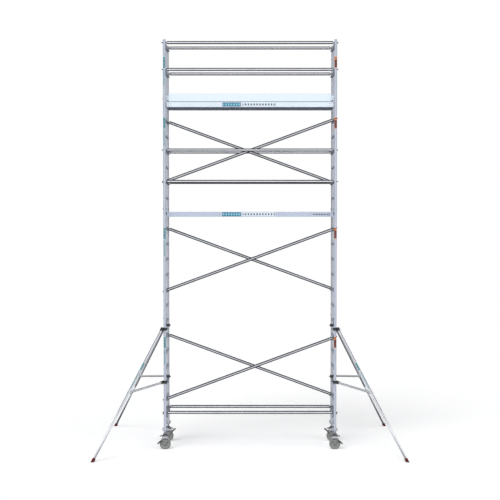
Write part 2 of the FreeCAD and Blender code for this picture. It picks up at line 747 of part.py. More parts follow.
def jack_spindle():
    """Spindle tube with the flange and stem that carry the castor's fork."""
    shaft = tube("spindle_tube", "Sizes.spindle_diameter", "Sizes.spindle_wall",
                 f"Sizes.spindle_top - {spindle_bottom}", at(0, 0, spindle_bottom))
    flange = cylinder("spindle_flange", "Sizes.flange_diameter / 2", "Sizes.flange_thickness",
                      at(0, 0, spindle_bottom - size("flange_thickness")))
    stem_drop = size("swivel_hub_height") + 2 * size("body_gap")
    stem = cylinder("spindle_stem", "Sizes.swivel_stem_diameter / 2",
                    "Sizes.swivel_hub_height + 2 * Sizes.body_gap",
                    at(0, 0, spindle_bottom - size("flange_thickness") - stem_drop))
    rivet = cylinder("spindle_rivet", "Sizes.swivel_rivet_diameter / 2", "Sizes.crown_thickness",
                     at(0, 0, spindle_bottom - size("flange_thickness") - stem_drop
                        - size("crown_thickness")))
    return fuse("jack_spindle", [shaft, flange, stem, rivet])


def jack_nut():
    """Hexagonal adjusting nut with two ears that stand up beside the post."""
    bottom = size("frame_bottom") - size("body_gap") - size("jack_nut_height")
    prism = doc.addObject("Part::Prism", "jack_nut_hexagon")
    prism.Polygon = 6
    prism.Placement = at(0, 0, bottom)
    bind(prism, Circumradius="Sizes.jack_nut_across_corners / 2",
         Height="Sizes.jack_nut_height")
    ear_start = size("post_diameter") / 2 + size("jack_nut_ear_from_post")
    ear_middle = (ear_start + size("jack_nut_ear_reach")) / 2
    parts = [prism]
    for side, sign in END_SIDES.items():
        parts.append(box(f"jack_nut_ear_{side}", f"Sizes.jack_nut_ear_reach - {ear_start}",
                         "Sizes.jack_nut_ear_width",
                         "Sizes.jack_nut_ear_top - Sizes.jack_nut_ear_bottom",
                         at(sign * ear_middle, 0, size("jack_nut_ear_bottom"))))
    bore = cylinder("jack_nut_bore", "Sizes.spindle_diameter / 2 + Sizes.running_gap",
                    "Sizes.jack_nut_height * 3", at(0, 0, bottom - size("jack_nut_height")))
    return cut("jack_nut", fuse("jack_nut_blank", parts), bore)


def cheek_outline():
    """Side view of a fork cheek, from the crown down to the axle."""
    pivot_z = size("pedal_pivot_height")
    shoulder = size("pedal_pivot_x") + size("cheek_shoulder_margin")
    leg_half = size("cheek_leg_width") / 2
    half = [
        (size("crown_length") / 2, size("crown_bottom") + size("crown_thickness")),
        (shoulder, pivot_z + size("cheek_shoulder_rise")),
        (shoulder, pivot_z - size("cheek_shoulder_drop")),
        (size("cheek_neck_width") / 2, pivot_z - size("cheek_neck_drop")),
        (leg_half, axle_z + size("cheek_leg_above_axle")),
        (leg_half, axle_z),
    ]
    points = [Vector(x, 0, z) for x, z in half] + [Vector(-x, 0, z) for x, z in reversed(half)]
    right, left = points[len(half) - 1], points[len(half)]
    bottom = Part.Arc(right, Vector(0, 0, axle_z - leg_half), left).toShape()
    sides = [Part.makeLine(a, b) for a, b in zip(points, points[1:]) if (a, b) != (right, left)]
    closing = Part.makeLine(points[-1], points[0])
    return Part.Wire(Part.__sortEdges__(sides + [bottom, closing]))


def castor_fork():
    """Swivelling fork: crown, hub, cheeks, brake plates, axle bolt, pedal pins and a tab."""
    crown = box("fork_crown", "Sizes.crown_length",
                "2 * (Sizes.cheek_inside + Sizes.cheek_thickness)", "Sizes.crown_thickness",
                at(0, 0, size("crown_bottom")))
    hub = cylinder("fork_hub", "Sizes.swivel_hub_diameter / 2", "Sizes.swivel_hub_height",
                   at(0, 0, size("crown_bottom")))
    face = Part.Face(cheek_outline())
    outside = size("cheek_inside") + size("cheek_thickness")
    parts = [crown, hub]
    for side, sign in END_SIDES.items():
        cheek = doc.addObject("Part::Feature", f"fork_cheek_{side}")
        cheek.Shape = face.extrude(Vector(0, sign * size("cheek_thickness"), 0))
        cheek.Placement = at(0, sign * size("cheek_inside"), 0)
        parts.append(cheek)
        pin_end = size("cheek_inside") + size("pedal_pin_length")
        parts.append(cylinder(f"fork_pedal_pin_{side}", "Sizes.pedal_pin_diameter / 2",
                              "Sizes.pedal_pin_length",
                              at(-size("pedal_pivot_x"),
                                 pin_end if sign > 0 else -size("cheek_inside"),
                                 size("pedal_pivot_height"), 90, X_AXIS)))
        parts.append(box(f"fork_brake_plate_{side}", "Sizes.brake_plate_length",
                         "Sizes.brake_plate_thickness", "Sizes.brake_plate_height",
                         at(size("brake_plate_end") - size("brake_plate_length") / 2,
                            sign * (outside + size("brake_plate_thickness") / 2),
                            size("brake_plate_bottom"))))
        head_end = outside + size("axle_head_thickness") if sign > 0 else -outside
        parts.append(cylinder(f"fork_axle_head_{side}", "Sizes.axle_head_diameter / 2",
                              "Sizes.axle_head_thickness", at(0, head_end, axle_z, 90, X_AXIS)))
    parts.append(cylinder("fork_axle", "Sizes.axle_diameter / 2",
                          "2 * (Sizes.cheek_inside + Sizes.cheek_thickness)",
                          at(0, outside, axle_z, 90, X_AXIS)))
    tab_top = size("crown_bottom") + size("swivel_hub_height") - size("fork_tab_drop")
    tab = box("fork_tab", "Sizes.fork_tab_length", "Sizes.fork_tab_width",
              "Sizes.fork_tab_thickness")
    tab.Placement = at(-size("fork_tab_start"), 0, tab_top, -size("fork_tab_angle"), Y_AXIS) \
        .multiply(at(-size("fork_tab_length"), -size("fork_tab_width") / 2, 0))
    parts.append(tab)
    stem_bore = cylinder("fork_stem_bore", "Sizes.swivel_stem_diameter / 2 + Sizes.running_gap",
                         "Sizes.swivel_hub_height * 3",
                         at(0, 0, size("crown_bottom") - size("swivel_hub_height")))
    return cut("castor_fork", fuse("castor_fork_blank", parts), stem_bore)


def castor_wheel():
    """Wheel on an axle along Y, with its centre at the origin."""
    half = size("wheel_width") / 2
    disc = cylinder("wheel_disc", "Sizes.wheel_diameter / 2", "Sizes.wheel_width",
                    at(0, half, 0, 90, X_AXIS))
    doc.recompute()
    rounded = doc.addObject("Part::Fillet", "wheel_rounded")
    rounded.Base = disc
    radius = size("wheel_rounding")
    edges = [index for index, edge in enumerate(disc.Shape.Edges, start=1)
             if isinstance(edge.Curve, Part.Circle)]
    rounded.Edges = [(index, radius, radius) for index in edges]
    recesses = [
        cylinder(f"wheel_recess_{side}", "Sizes.wheel_recess_diameter / 2",
                 "Sizes.wheel_recess_depth",
                 at(0, half if sign > 0 else -half + size("wheel_recess_depth"), 0, 90, X_AXIS))
        for side, sign in END_SIDES.items()
    ]
    web = cut("wheel_web", rounded, fuse("wheel_recesses", recesses))
    hub = cylinder("wheel_hub", "Sizes.hub_diameter / 2", "Sizes.hub_length",
                   at(0, size("hub_length") / 2, 0, 90, X_AXIS))
    bore = cylinder("wheel_bore", "Sizes.axle_diameter / 2 + Sizes.running_gap",
                    "Sizes.hub_length * 2", at(0, size("hub_length"), 0, 90, X_AXIS))
    return cut("castor_wheel", fuse("wheel_blank", [web, hub]), bore)


def brake_pedal():
    """Yoke pedal on the pivot pins at the origin, with its tread along -X."""
    inside = size("cheek_inside") + size("cheek_thickness") + size("body_gap")
    arm_width = size("cheek_thickness")
    tread = box("pedal_tread", "Sizes.pedal_length - Sizes.pedal_tread_start",
                f"{2 * (inside + arm_width)}", "Sizes.pedal_tread_thickness",
                at(-(size("pedal_length") + size("pedal_tread_start")) / 2, 0,
                   -size("pedal_tread_thickness") / 2))
    parts = [tread]
    for side, sign in END_SIDES.items():
        y = sign * (inside + arm_width / 2)
        parts.append(box(f"pedal_arm_{side}", "Sizes.pedal_tread_start + Sizes.pedal_arm_lap",
                         "Sizes.cheek_thickness", "Sizes.pedal_arm_height",
                         at(-(size("pedal_tread_start") + size("pedal_arm_lap")) / 2, y,
                            -size("pedal_arm_height") / 2)))
        parts.append(cylinder(f"pedal_boss_{side}", "Sizes.pedal_boss_diameter / 2",
                              "Sizes.cheek_thickness",
                              at(0, y + arm_width / 2, 0, 90, X_AXIS)))
    bore = cylinder("pedal_bore", "Sizes.pedal_pin_diameter / 2 + Sizes.running_gap",
                    f"{4 * inside}", at(0, 2 * inside, 0, 90, X_AXIS))
    return cut("brake_pedal", fuse("pedal_blank", parts), bore)


spindle, nut, fork = jack_spindle(), jack_nut(), castor_fork()
wheel, pedal = castor_wheel(), brake_pedal()
# The front castors stand braked, with the pedal down and outside; the back ones are free.
CASTORS = {
    "front_left": (0, size("pedal_down_angle")),
    "front_right": (180, size("pedal_down_angle")),
    "back_left": (180, -size("pedal_up_angle")),
    "back_right": (0, -size("pedal_up_angle")),
}
for name, (turn, pedal_angle) in CASTORS.items():
    x, y = POST_PLACES[name]
    place = at(x, y, 0, turn)
    node(f"castor_spindle_{name}", [placed(f"spindle_{name}", spindle, place)])
    node(f"castor_nut_{name}", [placed(f"nut_{name}", nut, place)])
    node(f"castor_fork_{name}", [placed(f"fork_{name}", fork, place)])
    node(f"castor_wheel_{name}", [placed(f"wheel_{name}", wheel, place.multiply(at(z=axle_z)))])
    pivot = at(-size("pedal_pivot_x"), 0, size("pedal_pivot_height"), -pedal_angle, Y_AXIS)
    node(f"castor_pedal_{name}", [placed(f"pedal_{name}", pedal, place.multiply(pivot))])


# ---------------------------------------------------------------- stabilisers

def rod(name, radius, start, end):
    """A solid cylinder from start to end."""
    way = end.sub(start)
    place = Placement(start, Rotation(Z_AXIS, way))
    return cylinder(name, radius, f"{way.Length}", place)


def pipe(name, diameter, start, end):
    way = end.sub(start)
    return tube(name, diameter, "Sizes.tube_wall", f"{way.Length}",
                Placement(start, Rotation(Z_AXIS, way)))


def post_clamp(name, height, arm_start, arm_end, arm_diameter):
    """Clamp round the post on the Z axis, with a collar that holds a tube of the stabiliser."""
    half = size("clamp_height") / 2
    ring = cylinder(name + "_ring", "Sizes.clamp_diameter / 2", "Sizes.clamp_height",
                    at(0, 0, height - half))
    collar = rod(name + "_collar", "Sizes.collar_diameter / 2", arm_start, arm_end)
    bolt = cylinder(name + "_bolt", "Sizes.clamp_bolt_diameter / 2", "Sizes.clamp_bolt_length",
                    at(-size("clamp_bolt_start"), 0, height, -90, Y_AXIS))
    wing = cylinder(name + "_wing", "Sizes.clamp_bolt_diameter / 2", "Sizes.clamp_wing_length",
                    at(-size("clamp_wing_offset"), size("clamp_wing_length") / 2, height,
                       90, X_AXIS))
    solid = fuse(name + "_blank", [ring, collar, bolt, wing])
    post_bore = cylinder(name + "_post_bore", "Sizes.post_diameter / 2 + Sizes.running_gap",
                         "Sizes.clamp_height * 3", at(0, 0, height - 3 * half))
    way = arm_end.sub(arm_start)
    arm_bore = rod(name + "_arm_bore", f"{arm_diameter} / 2",
                   arm_start.sub(way), arm_end.add(way))
    return cut(name, cut(name + "_bored", solid, post_bore), arm_bore)


def stabiliser(face, reach):
    """Templates of one stabiliser, in the XZ plane of a post on the Z axis."""
    head = Vector(size("clamp_offset"), 0, size("upper_clamp_height"))
    ground = Vector(reach, 0, 0)
    way = ground.sub(head)
    total = way.Length
    unit = Vector(way).normalize()
    leg_start = head.sub(unit * size("leg_head"))
    leg_end = head.add(unit * size("leg_length"))
    leg = pipe(f"{face}_leg", "Sizes.leg_diameter", leg_start, leg_end)

    inner_start = leg_end.sub(unit * size("foot_tube_overlap"))
    inner_end = head.add(unit * (total - size("foot_length") + size("foot_tube_seat")))
    inner = pipe(f"{face}_foot_tube", "Sizes.foot_tube_diameter", inner_start, inner_end)
    foot_start = head.add(unit * (total - size("foot_length")))
    foot_blank = rod(f"{face}_foot_blank", "Sizes.foot_diameter / 2", foot_start,
                     ground.add(unit * size("foot_length")))
    floor = box(f"{face}_foot_floor", "Sizes.foot_length * 6", "Sizes.foot_length * 6",
                "Sizes.foot_length * 3", at(reach, 0, -size("foot_length") * 3))
    foot_bore = rod(f"{face}_foot_bore", "Sizes.foot_tube_diameter / 2",
                    foot_start.sub(unit * size("foot_length")), inner_end)
    foot = cut(f"{face}_foot", foot_blank, fuse(f"{face}_foot_space", [floor, foot_bore]))

    joint = head.add(way * size("brace_point"))
    brace_start = Vector(size("lower_arm_offset"), 0, size("lower_clamp_height"))
    brace_blank = pipe(f"{face}_brace_tube", "Sizes.leg_brace_diameter", brace_start, joint)
    leg_space = rod(f"{face}_leg_space", "Sizes.leg_diameter / 2", leg_start, leg_end)
    brace = cut(f"{face}_brace", brace_blank, leg_space)

    half_collar = unit * (size("collar_length") / 2)
    upper = post_clamp(f"{face}_upper_clamp", size("upper_clamp_height"),
                       head.sub(half_collar), head.add(half_collar), "Sizes.leg_diameter")
    brace_way = Vector(joint.sub(brace_start)).normalize()
    lower = post_clamp(f"{face}_lower_clamp", size("lower_clamp_height"),
                       brace_start.sub(brace_way * size("lower_collar_behind")),
                       brace_start.add(brace_way * size("lower_collar_ahead")),
                       "Sizes.leg_brace_diameter")
    half_bracket = unit * (size("leg_bracket_length") / 2)
    sleeve = rod(f"{face}_sleeve", "Sizes.leg_bracket_diameter / 2", joint.sub(half_bracket),
                 joint.add(half_bracket))
    socket = rod(f"{face}_socket", "Sizes.leg_brace_diameter / 2 + Sizes.brace_socket_wall",
                 joint.sub(brace_way * size("brace_socket_length")), joint)
    bracket_blank = fuse(f"{face}_bracket_blank", [sleeve, socket])
    brace_space = rod(f"{face}_brace_space", "Sizes.leg_brace_diameter / 2", brace_start, joint)
    bracket_space = fuse(f"{face}_bracket_space", [leg_space, brace_space])
    joint_bracket = cut(f"{face}_bracket", bracket_blank, bracket_space)
    return {
        "tubes": [leg, brace, joint_bracket],
        "couplers": [upper, lower],
        "foot_leg": [inner, foot],
    }


front_plan = size("front_plan_angle")
back_plan = size("back_plan_angle")
STABILISERS = {
    "front_left": ("front", 180 + front_plan),
    "front_right": ("front", -front_plan),
    "back_left": ("back", 180 - back_plan),
    "back_right": ("back", back_plan),
}
templates = {
    "front": stabiliser("front", size("front_reach")),
    "back": stabiliser("back", size("back_reach")),
}
for name, (face, turn) in STABILISERS.items():
    x, y = POST_PLACES[name]
    for piece, parts in templates[face].items():
        node(f"stabiliser_{piece}_{name}",
             [placed(f"{piece}_{name}_{index}", part, at(x, y, 0, turn))
              for index, part in enumerate(parts)])


# ---------------------------------------------------------------- check and write

doc.recompute()
for part in doc.Objects:
    if "Invalid" in part.State or "Error" in part.State:
        raise RuntimeError(f"{part.Label} failed: {part.State}")
for part in NODES:
    if part.Shape.isNull() or not part.Shape.isValid() or not part.Shape.Solids:
        raise RuntimeError(f"{part.Label} is not a valid solid")

os.makedirs("parts", exist_ok=True)
for part in NODES:
    solids = part.Shape.Solids
    shape = solids[0] if len(solids) == 1 else Part.makeCompound(solids)
    shape.exportStep(f"parts/{part.Label}.step")
print(f"{len(NODES)} sub-parts, {sum(len(part.Shape.Solids) for part in NODES)} solids")
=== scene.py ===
"""Looks for the mobile scaffold tower: materials, labels, welds, wheels, feet, light and camera."""

import json
import math

import bpy
from mathutils import Matrix, Vector


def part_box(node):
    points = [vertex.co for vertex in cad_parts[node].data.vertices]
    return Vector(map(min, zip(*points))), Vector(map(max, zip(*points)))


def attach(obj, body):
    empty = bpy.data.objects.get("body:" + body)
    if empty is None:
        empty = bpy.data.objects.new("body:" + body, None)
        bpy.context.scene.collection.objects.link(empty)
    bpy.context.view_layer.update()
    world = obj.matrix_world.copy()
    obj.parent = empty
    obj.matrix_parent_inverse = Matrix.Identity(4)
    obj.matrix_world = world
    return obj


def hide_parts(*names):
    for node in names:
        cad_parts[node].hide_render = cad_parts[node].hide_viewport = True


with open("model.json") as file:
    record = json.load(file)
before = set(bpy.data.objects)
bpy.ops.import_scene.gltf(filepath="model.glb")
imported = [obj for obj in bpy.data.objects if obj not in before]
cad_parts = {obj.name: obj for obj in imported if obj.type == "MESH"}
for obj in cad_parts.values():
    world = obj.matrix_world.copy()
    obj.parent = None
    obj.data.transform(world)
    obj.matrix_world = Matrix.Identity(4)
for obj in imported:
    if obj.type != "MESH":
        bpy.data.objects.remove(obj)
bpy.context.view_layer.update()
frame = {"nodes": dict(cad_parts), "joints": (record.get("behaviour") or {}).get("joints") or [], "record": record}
RECORD = frame["record"]
JOINTS = {joint["name"]: joint for joint in frame["joints"]}


# ------------------------------------------------------------------ sizes in metres

left_low, left_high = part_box("ladder_frame_lower_left")
right_low, right_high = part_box("ladder_frame_lower_right")
POST_RADIUS = (left_high.x - left_low.x) / 2
LEFT_X = (left_low.x + left_high.x) / 2
RIGHT_X = (right_low.x + right_high.x) / 2
FRONT_Y = left_low.y + POST_RADIUS
BACK_Y = left_high.y - POST_RADIUS
TOWER_Y = (FRONT_Y + BACK_Y) / 2
FRAME_BOTTOM = left_low.z
FRAME_HEIGHT = left_high.z - left_low.z
JOINT_HEIGHTS = [FRAME_BOTTOM + FRAME_HEIGHT * level for level in (1, 2, 3)]
RUNG_RADIUS = 0.0225
RUNG_HEIGHTS = [FRAME_BOTTOM + 0.25 + 0.28 * index for index in range(21)]
RUNG_HEIGHTS += [JOINT_HEIGHTS[2] + rise for rise in (0.545, 1.02)]
CORNERS = ("front_left", "front_right", "back_left", "back_right")

BEAM_ABOVE_DECK = 0.002
BEAM_HEIGHT = 0.09
BEAM_GROOVE_PITCH = 0.0225
BOARD_STRAP = 0.0065
THREAD_PITCH = 0.008
FLANGE_TOP = 0.277
FORK_CROWN = 0.2345
LEG_RADIUS = 0.0212
FOOT_TUBE_RADIUS = 0.0188
FOOT_RADIUS = 0.0278
WELD_SIZE = 0.003


# ------------------------------------------------------------------ materials

def spread(nodes, links, value, source, target):
    """value within source (low, high), spread smoothly over target."""
    node = nodes.new("ShaderNodeMapRange")
    node.interpolation_type = "SMOOTHSTEP"
    links.new(value, node.inputs["Value"])
    node.inputs["From Min"].default_value, node.inputs["From Max"].default_value = source
    node.inputs["To Min"].default_value, node.inputs["To Max"].default_value = target
    return node.outputs["Result"]


class Paint:
    """A Principled material whose colour, roughness and relief are built up in steps."""

    def __init__(self, name, colour, roughness=0.5, metallic=0.0, coat=0.0, specular=0.5):
        self.material = bpy.data.materials.new(name)
        self.material.use_nodes = True
        self.nodes = self.material.node_tree.nodes
        self.links = self.material.node_tree.links
        self.shader = self.nodes["Principled BSDF"]
        self.shader.inputs["Metallic"].default_value = metallic
        self.shader.inputs["Roughness"].default_value = roughness
        self.shader.inputs["Coat Weight"].default_value = coat
        self.shader.inputs["Specular IOR Level"].default_value = specular
        self.shader.inputs["Base Color"].default_value = (*colour, 1)
        coordinates = self.nodes.new("ShaderNodeTexCoord")
        self.position = coordinates.outputs["Object"]
        self.uv = coordinates.outputs["UV"]
        self.colour = (*colour, 1)
        self.normal = None

    def feed(self, socket, value):
        if isinstance(value, bpy.types.NodeSocket):
            self.links.new(value, socket)
        else:
            socket.default_value = value

    def noise(self, scale, factors=(1, 1, 1), detail=3.0, rough=0.5):
        mapping = self.nodes.new("ShaderNodeMapping")
        self.links.new(self.position, mapping.inputs["Vector"])
        mapping.inputs["Scale"].default_value = factors
        node = self.nodes.new("ShaderNodeTexNoise")
        self.links.new(mapping.outputs["Vector"], node.inputs["Vector"])
        node.inputs["Scale"].default_value = scale
        node.inputs["Detail"].default_value = detail
        node.inputs["Roughness"].default_value = rough
        return node.outputs["Fac"]

    def cells(self, scale):
        node = self.nodes.new("ShaderNodeTexVoronoi")
        self.links.new(self.position, node.inputs["Vector"])
        node.inputs["Scale"].default_value = scale
        return node.outputs["Distance"]

    def axis(self, letter, source=None):
        node = self.nodes.new("ShaderNodeSeparateXYZ")
        self.links.new(source or self.position, node.inputs[0])
        return node.outputs[letter]

    def math(self, operation, first, second=0.0):
        node = self.nodes.new("ShaderNodeMath")
        node.operation = operation
        self.feed(node.inputs[0], first)
        self.feed(node.inputs[1], second)
        return node.outputs[0]

    def times(self, first, second):
        return self.math("MULTIPLY", first, second)

    def away(self, value, centre):
        """Distance of value from centre, whichever side it is on."""
        return self.math("ABSOLUTE", self.math("SUBTRACT", value, centre))

    def wave(self, value, length):
        return self.math("SINE", self.times(value, 2 * math.pi / length))

    def teeth(self, value, count):
        return self.math("FRACT", self.times(value, count))

    def spread(self, value, low, high, to_low=0.0, to_high=1.0):
        return spread(self.nodes, self.links, value, (low, high), (to_low, to_high))

    def near(self, value, centre, half, soft):
        """1 within half of centre, falling to 0 over soft."""
        return self.spread(self.away(value, centre), half, half + soft, 1.0, 0.0)

    def tint(self, factor, colour):
        node = self.nodes.new("ShaderNodeMix")
        node.data_type = "RGBA"
        self.feed(node.inputs["Factor"], factor)
        self.feed(node.inputs["A"], self.colour)
        self.feed(node.inputs["B"], (*colour, 1))
        self.colour = node.outputs["Result"]

    def polish(self, factor, low, high):
        self.links.new(self.spread(factor, 0.0, 1.0, low, high), self.shader.inputs["Roughness"])

    def relief(self, height, depth, strength):
        node = self.nodes.new("ShaderNodeBump")
        node.inputs["Strength"].default_value = strength
        node.inputs["Distance"].default_value = depth
        self.links.new(height, node.inputs["Height"])
        if self.normal is not None:
            self.links.new(self.normal, node.inputs["Normal"])
        self.normal = node.outputs["Normal"]

    def done(self):
        self.feed(self.shader.inputs["Base Color"], self.colour)
        if self.normal is not None:
            self.links.new(self.normal, self.shader.inputs["Normal"])
        return self.material


def shade(colour, factor):
    return tuple(min(1.0, channel * factor) for channel in colour)


def drawn_metal(name, colour, along, roughness=0.42, depth=0.0001, metallic=0.95):
    """Drawn or extruded metal tube; along is the axis its draw lines follow."""
    paint = Paint(name, colour, roughness, metallic=metallic)
    factors = [90.0, 90.0, 90.0]
    factors["XYZ".index(along)] = 1.6
    lines = paint.noise(9.0, factors, detail=4.0, rough=0.65)
    cloud = paint.noise(5.0, detail=4.0)
    specks = paint.noise(160.0, detail=2.0)
    paint.tint(paint.spread(cloud, 0.35, 0.75, 0.0, 0.55), shade(colour, 0.82))
    paint.tint(paint.spread(lines, 0.55, 0.8, 0.0, 0.45), shade(colour, 1.18))
    paint.tint(paint.spread(specks, 0.66, 0.8, 0.0, 0.4), shade(colour, 0.6))
    paint.polish(lines, roughness - 0.05, roughness + 0.12)
    paint.relief(lines, depth, 0.15)
    return paint.done()


def ladder_metal():
    """Aluminium ladder frame: posts drawn along Z, ribbed rungs along Y, painted shade where they meet."""
    colour = (0.57, 0.61, 0.70)
    paint = Paint("ladder_aluminium", colour, 0.42, metallic=0.7)
    across = paint.away(paint.axis("Y"), TOWER_Y)
    inner = BACK_Y - TOWER_Y - POST_RADIUS
    is_post = paint.spread(across, inner, inner + 0.001)
    post_lines = paint.noise(9.0, (90, 90, 1.6), detail=4.0, rough=0.65)
    rung_lines = paint.noise(9.0, (70, 1.2, 70), detail=2.0, rough=0.4)
    lines = paint.math("ADD", paint.times(post_lines, is_post),
                       paint.times(rung_lines, paint.math("SUBTRACT", 1.0, is_post)))
    cloud = paint.noise(3.5, detail=5.0)
    smudges = paint.noise(22.0, (1, 1, 0.5), detail=5.0, rough=0.7)
    # Painted shade on the rung ends and the posts' inner sides, darkest where they meet.
    rung_end_shade = paint.spread(paint.away(across, inner), 0.002, 0.02, 0.55, 0.0)
    paint.tint(paint.spread(cloud, 0.35, 0.7, 0.0, 0.5), (0.49, 0.53, 0.62))
    paint.tint(paint.spread(lines, 0.5, 0.8, 0.0, 0.5), (0.68, 0.72, 0.80))
    paint.tint(paint.spread(smudges, 0.58, 0.8, 0.0, 0.45), (0.40, 0.41, 0.44))
    paint.tint(rung_end_shade, (0.46, 0.45, 0.45))
    paint.polish(lines, 0.3, 0.62)
    paint.relief(lines, 0.0004, 0.4)
    return paint.done()


def cast_metal(name, colour, roughness=0.55, metallic=0.8, grain=420.0):
    """Sand or die casting with a pebbled skin and rubbed high spots."""
    paint = Paint(name, colour, roughness, metallic=metallic)
    pebbles = paint.noise(grain, detail=3.0, rough=0.6)
    stains = paint.noise(28.0, detail=5.0, rough=0.65)
    paint.tint(paint.spread(stains, 0.42, 0.7, 0.0, 0.6), shade(colour, 0.6))
    paint.tint(paint.spread(pebbles, 0.62, 0.75, 0.0, 0.5), shade(colour, 1.5))
    paint.polish(stains, roughness - 0.15, roughness + 0.2)
    paint.relief(pebbles, 0.0006, 0.5)
    return paint.done()


def zinc_plate(name, colour=(0.48, 0.50, 0.53), roughness=0.36):
    """Zinc-plated pressed steel with a faint crystalline bloom."""
    paint = Paint(name, colour, roughness, metallic=0.9)
    bloom = paint.cells(55.0)
    haze = paint.noise(14.0, detail=6.0, rough=0.7)
    scratches = paint.noise(30.0, (14, 14, 1), detail=4.0, rough=0.8)
    paint.tint(paint.spread(bloom, 0.1, 0.6, 0.0, 0.5), shade(colour, 0.78))
    paint.tint(paint.spread(haze, 0.5, 0.75, 0.0, 0.5), shade(colour, 1.25))
    paint.tint(paint.spread(scratches, 0.68, 0.8, 0.0, 0.6), shade(colour, 1.5))
    paint.polish(haze, roughness - 0.1, roughness + 0.25)
    paint.relief(scratches, 0.0003, 0.3)
    return paint.done()


def threaded_metal():
    """Spindle: a rolled thread above its plain dark flange."""
    paint = Paint("spindle_thread", (0.66, 0.69, 0.75), 0.36, metallic=0.7)
    height = paint.axis("Z")
    turns = paint.wave(height, THREAD_PITCH)
    groove_variation = paint.noise(60.0, detail=4.0)
    # Darker in the thread grooves, by an uneven amount.
    groove = paint.spread(turns, -1.0, 0.2, 1.0, 0.0)
    groove_darkening = paint.times(groove, paint.spread(groove_variation, 0.3, 0.7, 0.35, 0.9))
    paint.tint(groove_darkening, (0.34, 0.35, 0.38))
    is_flange = paint.spread(height, FLANGE_TOP - 0.0005, FLANGE_TOP + 0.0005, 1.0, 0.0)
    paint.tint(is_flange, (0.09, 0.092, 0.098))
    paint.polish(groove, 0.28, 0.6)
    paint.relief(turns, 0.0015, 0.8)
    return paint.done()


def coated_steel():
    """Black coated clamp: fine orange-peel skin, chips on it down to the steel."""
    paint = Paint("clamp_black", (0.022, 0.023, 0.026), 0.42)
    peel = paint.noise(700.0, detail=1.0)
    dust = paint.noise(25.0, detail=5.0, rough=0.7)
    chips = paint.noise(90.0, detail=6.0, rough=0.75)
    paint.tint(paint.spread(dust, 0.45, 0.8, 0.0, 0.35), (0.11, 0.11, 0.12))
    paint.tint(paint.spread(chips, 0.69, 0.73, 0.0, 0.7), (0.30, 0.30, 0.31))
    paint.polish(dust, 0.32, 0.6)
    paint.relief(peel, 0.0002, 0.4)
    return paint.done()


def moulded_plastic(name, colour, roughness=0.45):
    paint = Paint(name, colour, roughness, specular=0.45)
    grain = paint.noise(900.0, detail=2.0)
    wear = paint.noise(40.0, detail=5.0, rough=0.7)
    paint.tint(paint.spread(wear, 0.5, 0.75, 0.0, 0.4), shade(colour, 1.6))
    paint.polish(wear, roughness - 0.1, roughness + 0.2)
    paint.relief(grain, 0.00025, 0.4)
    return paint.done()


def platform_metal(name, colour):
    """Extruded platform beam, grooved along X; painted shade on the cast hooks outside its ends and on the faces
    inside the frame.
    """
    paint = Paint(name, colour, 0.45, metallic=0.45)
    grooves = paint.wave(paint.axis("Z"), BEAM_GROOVE_PITCH)
    lines = paint.noise(9.0, (1.4, 90, 90), detail=4.0, rough=0.6)
    cloud = paint.noise(2.6, detail=5.0)
    scuffs = paint.noise(30.0, (0.4, 2, 2), detail=6.0, rough=0.75)
    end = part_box("platform_top_deck")[1].x
    hook_shade = paint.spread(paint.math("ABSOLUTE", paint.axis("X")), end, end + 0.002)
    paint.tint(paint.spread(cloud, 0.4, 0.7, 0.0, 0.4), shade(colour, 0.86))
    paint.tint(paint.spread(lines, 0.52, 0.8, 0.0, 0.4), shade(colour, 1.15))
    paint.tint(paint.spread(scuffs, 0.64, 0.8, 0.0, 0.5), shade(colour, 0.55))
    # Painted shade: the hooks outside the beam ends are darkened.
    paint.tint(hook_shade, (0.10, 0.105, 0.12))
    low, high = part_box("platform_top_frame")
    inside = (high.y - low.y) / 2 - 0.005
    across = paint.away(paint.axis("Y"), TOWER_Y)
    # Painted shade on the faces inside the frame: the back beam's inner face and the cross beams.
    paint.tint(paint.spread(across, inside - 0.002, inside, 1.0, 0.0), (0.27, 0.30, 0.36))
    paint.polish(lines, 0.32, 0.6)
    paint.relief(paint.spread(grooves, 0.6, 1.0), 0.0012, 0.5)
    paint.relief(lines, 0.0003, 0.3)
    return paint.done()


def film_faced_ply():
    """Phenolic-faced plywood: dark brown film with a woven anti-slip print and worn tracks."""
    colour = (0.085, 0.055, 0.040)
    paint = Paint("deck_plywood", colour, 0.55)
    mesh = paint.times(paint.wave(paint.axis("X"), 0.012), paint.wave(paint.axis("Y"), 0.012))
    dust = paint.noise(7.0, detail=6.0, rough=0.65)
    wear = paint.noise(2.2, (0.6, 1.6, 1), detail=5.0)
    grain = paint.noise(18.0, (0.5, 9, 1), detail=5.0, rough=0.7)
    paint.tint(paint.spread(grain, 0.45, 0.75, 0.0, 0.5), (0.13, 0.085, 0.06))
    paint.tint(paint.spread(wear, 0.5, 0.75, 0.0, 0.5), (0.22, 0.18, 0.15))
    paint.tint(paint.spread(dust, 0.55, 0.8, 0.0, 0.5), (0.34, 0.32, 0.30))
    paint.polish(wear, 0.42, 0.75)
    paint.relief(mesh, 0.0008, 0.5)
    paint.relief(grain, 0.0004, 0.25)
    return paint.done()


